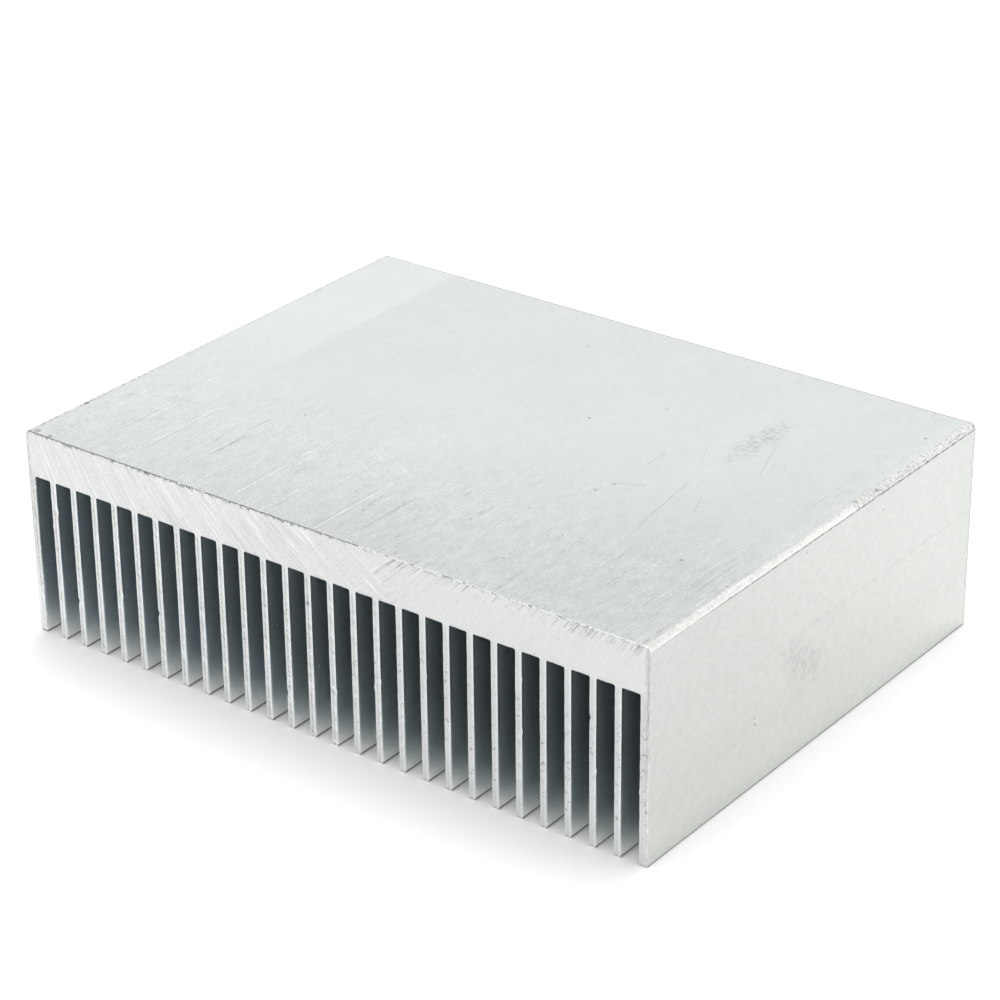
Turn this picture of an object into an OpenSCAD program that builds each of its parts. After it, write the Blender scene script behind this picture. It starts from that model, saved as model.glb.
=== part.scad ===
// Extruded aluminium heat sink: one solid, a thick base plate with a comb of
// straight fins, sawn square at both ends.
//
// The part stands on the tips of its fins, with the flat face of the base
// plate on top. The extrusion runs along Y and the fins are spaced along X.
// Origin: the middle of the footprint, on the plane of the fin tips.
// All sizes are in millimetres.

/* [Length] */
// Length of the sawn piece, along the extrusion
cut_length = 75; // [20:1:300]

/* [Base plate] */
// Thickness of the base plate
base_thickness = 6.6; // [3:0.1:15]
// Radius of the two long edges beside the flat face
base_edge_radius = 0.7; // [0.2:0.1:1.5]

/* [Fins] */
// Length of the fins below the base plate
fin_height = 23.4; // [5:0.1:60]
// Thickness of each fin between two air channels
fin_thickness = 1.0; // [0.6:0.05:4]
// Thickness of the outermost fin on each side
side_fin_thickness = 1.225; // [0.8:0.025:5]
// Radius on the two corners of each fin's tip
tip_radius = 0.15; // [0.05:0.05:0.25]

/* [Air channels] */
// Number of air channels, which is one less than the number of fins
channel_count = 27; // [2:1:40]
// Clear width of each air channel
channel_width = 2.65; // [1.5:0.05:8]
// Radius in the two corners at the root of each air channel
root_radius = 0.25; // [0.1:0.05:0.7]

/* [Hidden] */

// Segments of a full circle
$fn = 48;
// How far a cut runs past the face that it opens
overcut = 1;

channel_pitch = channel_width + fin_thickness;
body_width = 2 * side_fin_thickness
    + channel_count * channel_width
    + (channel_count - 1) * fin_thickness;
body_height = base_thickness + fin_height;

// Left side of an air channel, counted from 0 at the left
function channel_left(i) = -body_width / 2 + side_fin_thickness + i * channel_pitch;

// What is cut off a square corner to round it: the corner is at the origin
// and its material lies along +X and +Y.
module corner_waste(radius) {
    difference() {
        translate([-overcut, -overcut])
            square(radius + overcut);
        translate([radius, radius])
            circle(radius);
    }
}

// Solid outline of the profile, before the channels are cut
module blank_profile() {
    difference() {
        translate([-body_width / 2, 0])
            square([body_width, body_height]);
        for (side = [0, 1]) mirror([side, 0]) {
            translate([-body_width / 2, 0])
                corner_waste(tip_radius);
            translate([-body_width / 2, body_height])
                mirror([0, 1])
                    corner_waste(base_edge_radius);
        }
    }
}

// One air channel, open at the fin tips and round in the corners of its root
module channel_profile() {
    translate([0, -overcut])
        square([channel_width, fin_height - root_radius + overcut]);
    translate([root_radius, 0])
        square([channel_width - 2 * root_radius, fin_height]);
    for (x = [root_radius, channel_width - root_radius])
        translate([x, fin_height - root_radius])
            circle(root_radius);
    // Rounds the tips of the fins on both sides of the mouth
    translate([channel_width, 0])
        corner_waste(tip_radius);
    mirror([1, 0])
        corner_waste(tip_radius);
}

// Cross-section of the extrusion, with the fin tips on Y = 0
module profile() {
    difference() {
        blank_profile();
        for (i = [0 : channel_count - 1])
            translate([channel_left(i), 0])
                channel_profile();
    }
}

module heat_sink() {
    color("silver")
        rotate([90, 0, 0])
            linear_extrude(height = cut_length, center = true)
                profile();
}

heat_sink();
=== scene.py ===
"""Looks of an extruded aluminium heat sink: mill-finish faces, saw-cut ends and dark air channels.

The body is modelled again at the size of the CAD solid, with the fine things that a real sawn extrusion
has: broken edges along the cuts, small burrs and nicks, and knocks on the long edges.
Lengths in the classes are in millimetres, and the meshes are in metres.
"""

from __future__ import annotations

import functools
import logging
import math
import random
from collections.abc import Callable, Iterator, Sequence
from contextlib import contextmanager
from dataclasses import dataclass
from enum import Enum
from typing import Any

import bpy
import numpy as np
from mathutils import Matrix, Vector


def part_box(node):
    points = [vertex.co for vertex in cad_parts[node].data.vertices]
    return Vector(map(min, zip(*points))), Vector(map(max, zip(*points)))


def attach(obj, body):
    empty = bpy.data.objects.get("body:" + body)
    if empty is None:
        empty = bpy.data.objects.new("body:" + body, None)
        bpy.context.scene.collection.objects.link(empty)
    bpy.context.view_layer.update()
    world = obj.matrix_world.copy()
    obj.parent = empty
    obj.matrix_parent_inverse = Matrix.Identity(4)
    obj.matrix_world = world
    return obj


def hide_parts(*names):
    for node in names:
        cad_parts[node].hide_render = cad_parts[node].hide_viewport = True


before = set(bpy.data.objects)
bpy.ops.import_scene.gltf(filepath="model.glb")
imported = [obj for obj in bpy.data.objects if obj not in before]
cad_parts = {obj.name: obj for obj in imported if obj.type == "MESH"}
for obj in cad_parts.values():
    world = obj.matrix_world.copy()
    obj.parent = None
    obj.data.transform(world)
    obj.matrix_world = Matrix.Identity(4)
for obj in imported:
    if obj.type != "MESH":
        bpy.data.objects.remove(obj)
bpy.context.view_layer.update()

log = logging.getLogger("heat_sink")

MM = 0.001

Socket = bpy.types.NodeSocket
Value = Socket | float
Triple = tuple[float, float, float]
Chosen = bool | np.ndarray

# How close two places are that count as one, in millimetres
NEAR = 0.01
# How far over a border something may lie that still belongs to it, in millimetres
BESIDE = 0.05

# The object's directions: across the fins, along the extrusion, and up
ACROSS: Triple = (1.0, 0.0, 0.0)
ALONG: Triple = (0.0, 1.0, 0.0)
UP: Triple = (0.0, 0.0, 1.0)


class Skin(Enum):
    """The surfaces of the extrusion, in the order of its material slots."""

    MILL = 0
    SAWN = 1
    CHANNEL = 2
    OUTER_RIM = 3
    MOUTH_RIM = 4


# Materials


def on_each_axis(value: Triple | float) -> Triple:
    """The same number on each axis, unless three numbers are given."""
    return value if isinstance(value, tuple) else (value, value, value)


class Recipe:
    """A material's nodes, written as arithmetic on places in millimetres."""

    def __init__(self, name: str) -> None:
        """Starts an empty material.

        Args:
            name: The material's name.
        """
        self.material = bpy.data.materials.new(name)
        self.material.use_nodes = True
        self.nodes = self.material.node_tree.nodes
        self.links = self.material.node_tree.links
        self.nodes.clear()
        coordinates = self.nodes.new("ShaderNodeTexCoord")
        self.place = self.vectors("SCALE", coordinates.outputs["Object"], scale=1 / MM)
        split = self.nodes.new("ShaderNodeSeparateXYZ")
        self.put(split.inputs[0], self.place)
        self.x, self.y, self.z = split.outputs

    def put(self, target: Socket, value: Value | Triple) -> None:
        """Sets a socket to a number, or joins it to another socket."""
        if isinstance(value, bpy.types.NodeSocket):
            self.links.new(value, target)
        else:
            target.default_value = value

    def math(self, operation: str, first: Value, second: Value = 0.0, clamp: bool = False) -> Socket:
        """One step of arithmetic.

        Args:
            operation: The Math node's operation.
            first: First number or socket.
            second: Second number or socket.
            clamp: Whether the result is kept between 0 and 1.

        Returns:
            The result's socket.
        """
        node = self.nodes.new("ShaderNodeMath")
        node.operation = operation
        node.use_clamp = clamp
        self.put(node.inputs[0], first)
        self.put(node.inputs[1], second)
        return node.outputs[0]

    def vectors(self, operation: str, *values: Socket | Triple, scale: Value | None = None) -> Socket:
        """One step of vector arithmetic.

        Args:
            operation: The Vector Math node's operation.
            values: Its vectors, in the node's order.
            scale: The factor of a SCALE step.

        Returns:
            The result's socket, which is a number for a distance, a length or a dot product.
        """
        node = self.nodes.new("ShaderNodeVectorMath")
        node.operation = operation
        for socket, value in zip(node.inputs, values):
            self.put(socket, value)
        if scale is not None:
            self.put(node.inputs["Scale"], scale)
        gives_number = operation in ("DISTANCE", "DOT_PRODUCT", "LENGTH")
        return node.outputs["Value" if gives_number else "Vector"]

    def add(self, *terms: Value) -> Socket:
        """The sum of all terms."""
        return functools.reduce(functools.partial(self.math, "ADD"), terms)

    def times(self, *factors: Value) -> Socket:
        """The product of all factors."""
        return functools.reduce(functools.partial(self.math, "MULTIPLY"), factors)

    def less(self, value: Value, taken: Value) -> Socket:
        """A value with another taken from it."""
        return self.math("SUBTRACT", value, taken)

    def rest(self, share: Value) -> Socket:
        """What a share leaves of 1."""
        return self.less(1.0, share)

    def size(self, value: Value) -> Socket:
        """A value without its sign."""
        return self.math("ABSOLUTE", value)

    def larger(self, first: Value, second: Value) -> Socket:
        """The larger of two values."""
        return self.math("MAXIMUM", first, second)

    def step(self, value: Value, start: float, end: float, low: float = 0.0, high: float = 1.0) -> Socket:
        """A soft step of a value.

        Args:
            value: What is measured.
            start: Where the step begins.
            end: Where the step ends, which may lie below start.
            low: The result before the step.
            high: The result after the step.

        Returns:
            The result's socket.
        """
        node = self.nodes.new("ShaderNodeMapRange")
        node.interpolation_type = "SMOOTHSTEP"
        self.put(node.inputs["Value"], value)
        (first, before), (last, after) = sorted([(start, low), (end, high)])
        for name, number in zip(("From Min", "From Max", "To Min", "To Max"), (first, last, before, after)):
            node.inputs[name].default_value = number
        return node.outputs[0]

    def band(self, value: Value, centre: float, half_width: float, softness: float) -> Socket:
        """1 near a centre and 0 away from it.

        Args:
            value: What is measured.
            centre: The middle of the band.
            half_width: Half the width at full strength.
            softness: How far the band takes to fade out.

        Returns:
            The mask's socket.
        """
        away = self.size(self.less(value, centre))
        return self.step(away, half_width, half_width + softness, 1.0, 0.0)

    def joined(self, x: Value, y: Value, z: Value) -> Socket:
        """Joins three numbers or sockets into one vector."""
        node = self.nodes.new("ShaderNodeCombineXYZ")
        for socket, value in zip(node.inputs, (x, y, z)):
            self.put(socket, value)
        return node.outputs[0]

    def scaled(self, place: Socket, stretch: Triple, shift: Triple) -> Socket:
        """A place, scaled on each axis and then moved."""
        return self.vectors("MULTIPLY_ADD", place, stretch, shift)

    def turned(self, degrees: float, axis: Triple = UP, centre: Triple = (0.0, 0.0, 0.0)) -> Socket:
        """The place, turned about an axis through a centre."""
        turn = self.nodes.new("ShaderNodeVectorRotate")
        turn.rotation_type = "AXIS_ANGLE"
        turn.inputs["Center"].default_value = centre
        turn.inputs["Axis"].default_value = axis
        turn.inputs["Angle"].default_value = math.radians(degrees)
        self.put(turn.inputs["Vector"], self.place)
        return turn.outputs[0]

    def noise(
        self,
        grains: Triple | float,
        detail: float = 2.0,
        roughness: float = 0.5,
        shift: Triple | float = 0.0,
        place: Socket | None = None,
    ) -> Socket:
        """Noise over the object, or over a turned place.

        Args:
            grains: Grains per millimetre, on each axis or on all three.
            detail: How many finer layers are added.
            roughness: How strong the finer layers are.
            shift: Moves the pattern, so that two of them differ.
            place: The turned place, if it is one.

        Returns:
            A socket between 0 and 1, about 0.5 on average.
        """
        place = self.place if place is None else place
        return self.noise_at(self.scaled(place, on_each_axis(grains), on_each_axis(shift)), detail, roughness)

    def noise_at(self, at: Socket, detail: float, roughness: float) -> Socket:
        """Noise at a place that is already counted in grains."""
        node = self.nodes.new("ShaderNodeTexNoise")
        node.inputs["Scale"].default_value = 1.0
        node.inputs["Detail"].default_value = detail
        node.inputs["Roughness"].default_value = roughness
        self.put(node.inputs["Vector"], at)
        return node.outputs["Fac"]

    def sway(self, value: Socket, amount: Value) -> Socket:
        """Noise as a change about zero, of the given strength."""
        return self.times(self.less(value, 0.5), amount)

    def dots(self, spacing: float, radius: float, share: float, shift: float = 0.0) -> Socket:
        """Small scattered pits.

        Args:
            spacing: About how far apart the cells are.
            radius: Radius of a pit.
            share: The share of cells that hold a pit.
            shift: Moves the whole scatter, so that two of them differ.

        Returns:
            A mask socket, 1 inside a pit.
        """
        node = self.nodes.new("ShaderNodeTexVoronoi")
        node.inputs["Scale"].default_value = 1 / spacing
        self.put(node.inputs["Vector"], self.scaled(self.place, on_each_axis(1.0), on_each_axis(shift)))
        inside = self.step(node.outputs["Distance"], 0.6 * radius / spacing, radius / spacing, 1.0, 0.0)
        split = self.nodes.new("ShaderNodeSeparateColor")
        self.put(split.inputs[0], node.outputs["Color"])
        return self.times(inside, self.math("LESS_THAN", split.outputs[0], share))

    def tinted(self, colour: Triple | Socket, change: Triple, share: Socket) -> Socket:
        """A colour with a share of a change added to it."""
        return self.vectors("MULTIPLY_ADD", share, change, colour)

    def mix(self, first: Triple, second: Triple, share: Socket) -> Socket:
        """A colour between two colours: the first at a share of 0, the second at 1."""
        return self.tinted(first, tuple(b - a for a, b in zip(first, second)), share)

    def shade(self, colour: Triple | Socket, strength: Socket) -> Socket:
        """A colour made lighter or darker by a strength about 1."""
        return self.vectors("SCALE", colour, scale=strength)

    def metal(self, colour: Socket, roughness: Value, height: Socket, relief: float) -> bpy.types.Material:
        """Finishes the material as bare metal.

        Args:
            colour: Base colour.
            roughness: Roughness of the surface.
            height: Height of the relief, about 0 to 1.
            relief: Depth of the relief at a height of 1.

        Returns:
            The finished material.
        """
        bump = self.nodes.new("ShaderNodeBump")
        bump.inputs["Distance"].default_value = relief * MM
        self.put(bump.inputs["Height"], height)
        shader = self.nodes.new("ShaderNodeBsdfPrincipled")
        shader.inputs["Metallic"].default_value = 1.0
        self.put(shader.inputs["Base Color"], colour)
        self.put(shader.inputs["Roughness"], roughness)
        self.put(shader.inputs["Normal"], bump.outputs[0])
        output = self.nodes.new("ShaderNodeOutputMaterial")
        self.put(output.inputs["Surface"], shader.outputs[0])
        return self.material


@dataclass(frozen=True)
class Patch:
    """A rubbed patch with fine ripples, as another part leaves it.

    Attributes:
        centre: The middle, as x, y and z.
        reach: How far it goes on each axis; a large number on the axis through the face.
        ripple: Ripples per millimetre on each axis.
        strength: How much darker the ripples are.
        degrees: How far the patch is turned within its face.
        axis: The axis of that turn, which is the face's normal.
    """

    centre: Triple
    reach: Triple
    ripple: Triple
    strength: float
    degrees: float = 0.0
    axis: Triple = UP

    def mask(self, r: Recipe) -> Socket:
        """The patch's darkening, 0 away from it."""
        own = r.turned(self.degrees, self.axis, self.centre)
        shift = tuple(-c / size for c, size in zip(self.centre, self.reach))
        away = r.vectors("LENGTH", r.scaled(own, tuple(1 / size for size in self.reach), shift))
        inside = r.step(r.add(away, r.sway(r.noise(0.7), 1.4)), 1.05, 0.35)
        ripples = r.step(r.noise(self.ripple, 2.0, 0.6, place=own), 0.40, 0.64)
        return r.times(inside, r.add(ripples, 0.12), self.strength)


@dataclass(frozen=True)
class Pit:
    """A single pit or stain on a face, darker than the face by its strength."""

    place: Triple
    radius: float
    strength: float

    def mask(self, r: Recipe) -> Socket:
        """The pit's darkening, 0 away from it."""
        away = r.vectors("DISTANCE", r.place, self.place)
        ragged = r.add(away, r.sway(r.noise(3.0), self.radius * 1.6))
        return r.step(ragged, self.radius * 0.55, self.radius * 1.1, self.strength, 0.0)


@dataclass(frozen=True)
class Scratch:
    """A single straight scratch on the flat face.

    Attributes:
        start: One end, as x and y.
        end: The other end.
        width: How wide it is.
        strength: How much darker it is than the face, or lighter where it is negative.
        height: Where the flat face lies.
    """

    start: tuple[float, float]
    end: tuple[float, float]
    width: float
    strength: float
    height: float = 30.0

    def mask(self, r: Recipe) -> Socket:
        """The scratch's darkening, 0 away from it."""
        start = Vector((*self.start, self.height))
        line = Vector((*self.end, self.height)) - start
        from_start = r.scaled(r.place, on_each_axis(1.0), -start)
        along = r.vectors("DOT_PRODUCT", from_start, line / line.length_squared)
        nearest = r.vectors("SCALE", line, scale=r.math("ADD", along, 0.0, clamp=True))
        away = r.vectors("DISTANCE", from_start, nearest)
        return r.step(away, self.width * 0.5, self.width, self.strength, 0.0)


@dataclass(frozen=True)
class MillFinish:
    """Bare aluminium as it leaves the die: lines along Y, small pits and handling marks, with painted
    highlight, reflection and shade.

    Attributes:
        low: The object's lowest corner.
        high: The object's highest corner.
        edge: Radius of the long edges beside the flat face.
        colour: Colour of the flat face.
        side_colour: Colour of the outer sides and the long edges, a slightly darker copy of the flat face's
            colour as painted shade.
        roughness: Roughness before the noise.
        line_width: Width of the finest die lines.
        line_length: About how long a die line goes on.
        line_strength: How far the die lines change the tone.
        relief: Depth of the bump.
        strip_width: Width of the lighter strip on the left of the flat face, a painted reflection of a soft
            lamp.
        strip_blur: How far the strip's edge fades to each side.
        reflection_tint: What is added to the colour in the strip: the painted reflection's faint blue.
        die_line_height: Height of the one long line on the outer sides.
        patches: The rubbed patches.
        pits: The single pits and stains.
        single_scratches: The single scratches.
    """

    low: Triple
    high: Triple
    edge: float
    colour: Triple = (0.618, 0.646, 0.624)
    side_colour: Triple = (0.616, 0.632, 0.605)
    roughness: float = 0.42
    line_width: float = 0.24
    line_length: float = 15.0
    line_strength: float = 0.29
    relief: float = 0.012
    strip_width: float = 13.6
    strip_blur: float = 0.8
    reflection_tint: Triple = (0.002, 0.001, 0.010)
    die_line_height: float = 17.4
    patches: tuple[Patch, ...] = (
        Patch((30.0, 16.0, 30.0), (2.5, 8.6, 50.0), (1.0, 1.5, 0.7), 0.19),
        Patch((50.0, -3.6, 13.2), (50.0, 6.8, 2.9), (0.5, 1.5, 0.6), 0.15, 34.0, ACROSS),
        Patch((50.0, -6.5, 12.0), (50.0, 2.6, 1.6), (0.2, 0.3, 0.3), 0.08, 34.0, ACROSS),
    )
    pits: tuple[Pit, ...] = (
        Pit((8.0, 9.0, 30.0), 0.26, 0.40),
        Pit((-49.4, 21.0, 30.0), 0.75, 0.14),
        Pit((-49.3, -26.8, 30.0), 0.55, 0.40),
        Pit((-49.5, -33.4, 30.0), 0.40, 0.34),
        Pit((-48.4, -36.8, 30.0), 0.62, 0.34),
        Pit((-45.9, -37.1, 30.0), 0.42, 0.30),
        Pit((49.3, 8.5, 29.9), 0.42, 0.36),
        Pit((49.5, 13.2, 29.8), 0.34, 0.30),
        Pit((49.7, 37.2, 29.8), 0.45, 0.30),
        Pit((14.7, 17.3, 30.0), 0.34, 0.16),
        Pit((-6.0, 28.0, 30.0), 0.26, 0.2),
        Pit((47.0, 29.6, 30.0), 0.28, 0.4),
        Pit((-23.0, -12.4, 30.0), 0.22, 0.4),
        Pit((1.0, -29.6, 30.0), 0.26, 0.35),
        Pit((23.0, -29.6, 30.0), 0.22, 0.35),
        Pit((40.7, -17.3, 30.0), 0.26, 0.35),
        Pit((-40.5, -27.0, 30.0), 0.24, 0.2),
        Pit((21.1, -7.8, 30.0), 0.42, 0.22),
        Pit((22.1, -5.1, 30.0), 0.26, 0.28),
        Pit((25.1, -3.2, 30.0), 0.22, 0.24),
        Pit((50.0, -14.6, 9.0), 0.22, 0.4),
        Pit((50.0, -14.7, 9.9), 0.17, 0.4),
        Pit((50.0, 14.3, 26.7), 0.30, 0.22),
        Pit((50.0, -3.7, 28.2), 0.24, 0.3),
    )
    single_scratches: tuple[Scratch, ...] = (
        Scratch((32.8, 15.6), (35.5, 8.0), 0.16, 0.13),
        Scratch((33.2, 15.6), (35.9, 8.0), 0.14, -0.06),
        Scratch((25.6, 10.6), (27.4, 6.6), 0.14, 0.10),
        Scratch((29.4, 0.6), (31.1, -12.3), 0.18, 0.12),
        Scratch((21.6, -5.2), (25.2, -3.2), 0.16, 0.10),
        Scratch((-0.7, -21.5), (-0.8, -37.0), 0.18, -0.14),
        Scratch((-1.2, -24.0), (-1.2, -36.0), 0.14, 0.10),
        Scratch((-9.0, -24.0), (-9.2, -33.5), 0.16, -0.10),
        Scratch((-15.0, -25.5), (-15.1, -35.5), 0.18, -0.12),
        Scratch((-15.5, -27.0), (-15.5, -36.5), 0.14, 0.14),
        Scratch((-33.8, -17.5), (-33.9, -36.5), 0.18, -0.09),
        Scratch((-33.3, -19.0), (-33.3, -35.0), 0.14, 0.14),
        Scratch((-26.0, -16.0), (-26.0, -20.5), 0.16, 0.14),
        Scratch((4.2, -23.0), (4.2, -34.0), 0.18, 0.14),
        Scratch((46.6, -14.0), (46.6, -23.0), 0.18, 0.14),
        Scratch((45.2, -15.5), (45.2, -22.0), 0.16, 0.12),
        Scratch((33.2, -2.0), (34.6, -5.6), 0.14, 0.12),
        Scratch((22.0, 6.4), (22.2, 1.8), 0.14, 0.14),
    )

    def die_lines(self, r: Recipe) -> Socket:
        """Fine light and dark lines along the extrusion, as a change of tone."""
        thin = 1 / self.line_width
        lines = r.noise((thin, 1 / self.line_length, thin), 3.0, 0.7)
        light = r.step(lines, 0.56, 0.68)
        dark = r.step(lines, 0.45, 0.33)
        groups = r.step(r.noise((0.6, 0.03, 0.6), 3.0, 0.6, 4.0), 0.49, 0.60)
        breaks = r.step(r.noise((2.6, 0.9, 2.6), 2.0, 0.6, (7.0, 1.0, 3.0)), 0.44, 0.55)
        return r.times(r.less(light, r.times(dark, 1.35)), groups, breaks, self.line_strength)

    def scratches(self, r: Recipe) -> Socket:
        """Thin scratches in a few directions, as a change of tone."""
        total: Value = 0.0
        for turn, shift, strength in ((24.0, 3.0, 0.045), (-41.0, 17.0, -0.05), (77.0, 31.0, -0.04)):
            across = r.noise((4.0, 0.22, 4.0), shift=(shift, shift, 0.0), place=r.turned(turn))
            total = r.add(total, r.times(r.step(across, 0.70, 0.76), strength))
        cross = r.noise((3.6, 0.2, 3.6), 1.0, shift=(2.0, 9.0, 0.0), place=r.turned(-58.0))
        near = r.times(r.band(r.x, -4.0, 3.0, 5.0), r.band(r.y, -18.0, 2.0, 4.0))
        return r.add(total, r.times(r.step(cross, 0.55, 0.66), near, 0.10))

    def specks(self, r: Recipe) -> Socket:
        """Flecks and worn spots, which gather along the edges of the flat face, as a change of tone."""
        down = r.less(self.high[2], r.z)
        from_right = r.less(self.high[0], r.x)
        from_left = r.less(r.x, self.low[0])
        along = r.less(self.high[1], r.size(r.y))
        on_top = r.step(down, 1.4, 0.3)
        right = r.times(r.step(from_right, 2.6, 0.5, 0.0, 0.8), on_top)
        left = r.times(r.step(from_left, 1.9, 0.4, 0.0, 0.8), on_top)
        patchy = r.step(r.noise(0.16, 2.0, 0.6, (2.0, 7.0, 2.0)), 0.42, 0.56, 0.25, 1.0)
        ends = r.times(r.step(along, 2.0, 0.5), patchy)
        foot = r.step(r.z, 3.4, 0.6, 0.0, 0.45)
        worn = r.larger(r.larger(right, left), r.larger(ends, foot))
        fine = r.noise((2.8, 1.5, 2.8), 3.0, 0.7, (1.0, 8.0, 2.0))
        dark = r.step(fine, 0.55, 0.68)
        light = r.step(fine, 0.45, 0.34)
        back = r.step(r.add(r.less(self.high[1], r.y), r.sway(fine, 0.3)), 0.50, 0.20)
        return r.add(
            r.times(back, -0.22),
            r.times(dark, worn, -0.27),
            r.times(light, worn, 0.14),
            r.times(r.dots(4.3, 0.17, 0.16), -0.35),
            r.times(r.dots(1.7, 0.11, 0.20, 5.0), -0.12),
        )

    def strip(self, r: Recipe) -> Socket:
        """Where the lighter strip on the left of the flat face lies: a painted reflection of a soft lamp."""
        end = self.low[0] + self.strip_width
        return r.times(r.step(r.x, end + self.strip_blur, end - self.strip_blur), r.step(r.y, -26.0, 12.0))

    def top_tone(self, r: Recipe) -> Socket:
        """The flat face's broad tones: a painted reflection as a lighter strip on the left, and painted shade
        towards the front right.
        """
        # Painted shade: darker towards the front right, along a wandering slope.
        wander = r.sway(r.noise(0.05), 30.0)
        painted_shade_slope = r.add(r.times(r.x, 0.6), r.times(r.y, -1.0), wander)
        faint_line = r.times(r.band(r.x, 45.6, 0.02, 0.16), r.band(r.y, 5.0, 20.0, 12.0))
        return r.add(
            # The painted reflection: a lighter strip on the left.
            r.times(self.strip(r), 0.065),
            r.step(painted_shade_slope, -10.0, 60.0, 0.015, -0.145),
            r.times(faint_line, -0.05),
            r.times(r.step(r.x, self.high[0] - 3.0, self.high[0] - 1.2), 0.03),
        )

    def side_tone(self, r: Recipe) -> Socket:
        """The outer sides' broad tones: one die line, painted shade towards the front, painted floor light
        near the fin tips, and a painted contact shadow along the foot.
        """
        waver = r.sway(r.noise((0.0, 0.08, 0.0)), 0.5)
        line = r.band(r.add(r.z, waver), self.die_line_height, 0.05, 0.25)
        broken = r.step(r.noise((0.0, 0.5, 0.0), 2.0, shift=(3.0, 0.0, 3.0)), 0.30, 0.55)
        fade = r.step(r.y, -20.0, 4.0, 0.1, 1.0)
        return r.add(
            r.times(line, fade, broken, -0.075),
            # Painted shade: darker towards the front, lighter towards the back.
            r.step(r.y, self.low[1], self.high[1], -0.045, 0.04),
            # Painted floor light: lighter near the fin tips.
            r.step(r.z, 9.0, 3.0, 0.0, 0.065),
            # Painted contact shadow: a dark line along the foot.
            r.step(r.z, 0.40, 0.12, 0.0, -0.45),
        )

    def long_edges(self, r: Recipe) -> Socket:
        """The rounded long edges: scuffed, painted a little lighter as highlight, with a painted highlight on
        the right edge near the front, and a broken dark line of painted shade where each meets the side.
        """
        down = r.less(self.high[2], r.z)
        across = r.less(self.high[0], r.size(r.x))
        inner = self.edge - 0.15
        rounding = r.times(r.step(down, self.edge, inner), r.step(across, self.edge, inner))
        scuffs = r.noise((2.0, 1.1, 2.0), 3.0, 0.75, 3.0)
        dashes = r.step(r.noise((0.0, 0.9, 0.0), 3.0, 0.7, (1.0, 0.0, 1.0)), 0.44, 0.58)
        line = r.times(r.band(down, self.edge + 0.08, 0.08, 0.10), r.step(across, 0.2, 0.05))
        nicks = r.step(r.noise((0.4, 1.5, 0.4), 2.0, 0.7, 8.0), 0.66, 0.74)
        on_left = r.step(r.x, 0.0, -1.0)
        near_front = r.step(r.add(r.y, r.sway(scuffs, 8.0)), 12.0, 5.0)
        far = r.rest(near_front)
        streaks = r.noise((0.5, 2.6, 0.5), 3.0, 0.7, (2.0, 6.0, 2.0))
        # Painted highlight on the right rounded edge near the front: brightest at the outer edge, streaked,
        # with dull spots.
        highlight_crest = r.step(across, 0.95, 0.10, 0.12, 0.26)
        dull_spots = r.times(r.step(scuffs, 0.60, 0.70), -0.10)
        painted_highlight = r.times(near_front, r.add(highlight_crest, r.sway(streaks, 0.45), dull_spots))
        flecks = r.noise(2.4, 3.0, 0.8, (5.0, 1.0, 3.0))
        fleck_zone = r.times(far, r.step(across, 1.5, 0.5), r.step(down, 0.9, 0.6), r.rest(on_left))
        dark_flecks = r.times(r.step(flecks, 0.54, 0.60), -0.44)
        light_flecks = r.times(r.step(flecks, 0.47, 0.40), 0.22)
        scuffed = r.times(far, on_left, r.step(scuffs, 0.52, 0.64), -0.28)
        ragged = r.noise((1.5, 1.0, 1.5), 3.0, 0.75, (1.0, 5.0, 1.0))
        left_band = r.times(r.step(across, 1.2, 0.6), r.step(down, 1.2, 0.9), on_left)
        worn_left = r.times(left_band, r.step(ragged, 0.48, 0.60))
        # Where the painted highlight lies: a band inside the edge, widest a little behind the front corner.
        width = r.add(r.step(r.y, -24.0, -8.0, 0.20, 0.0), r.step(r.y, -37.0, -26.0, 0.42, 0.72))
        inside = r.less(width, r.add(across, r.sway(streaks, 1.5)))
        shine = r.times(r.step(inside, -0.15, 0.55), r.step(down, 0.9, 0.6), r.rest(on_left))
        return r.add(
            r.times(shine, painted_highlight),
            r.times(fleck_zone, r.add(dark_flecks, light_flecks)),
            # The roundings are painted a little lighter as highlight, with scuffs and nicks.
            r.times(rounding, r.add(0.06, scuffed, r.times(nicks, -0.35))),
            r.times(worn_left, r.step(r.y, -22.0, -2.0, -0.52, -0.22)),
            # A broken dark line of painted shade where the rounding meets the side, darkest near the front.
            r.times(line, r.add(0.5, r.times(dashes, 0.5)), r.step(r.y, -34.0, -12.0, -0.12, -0.66)),
        )

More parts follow.
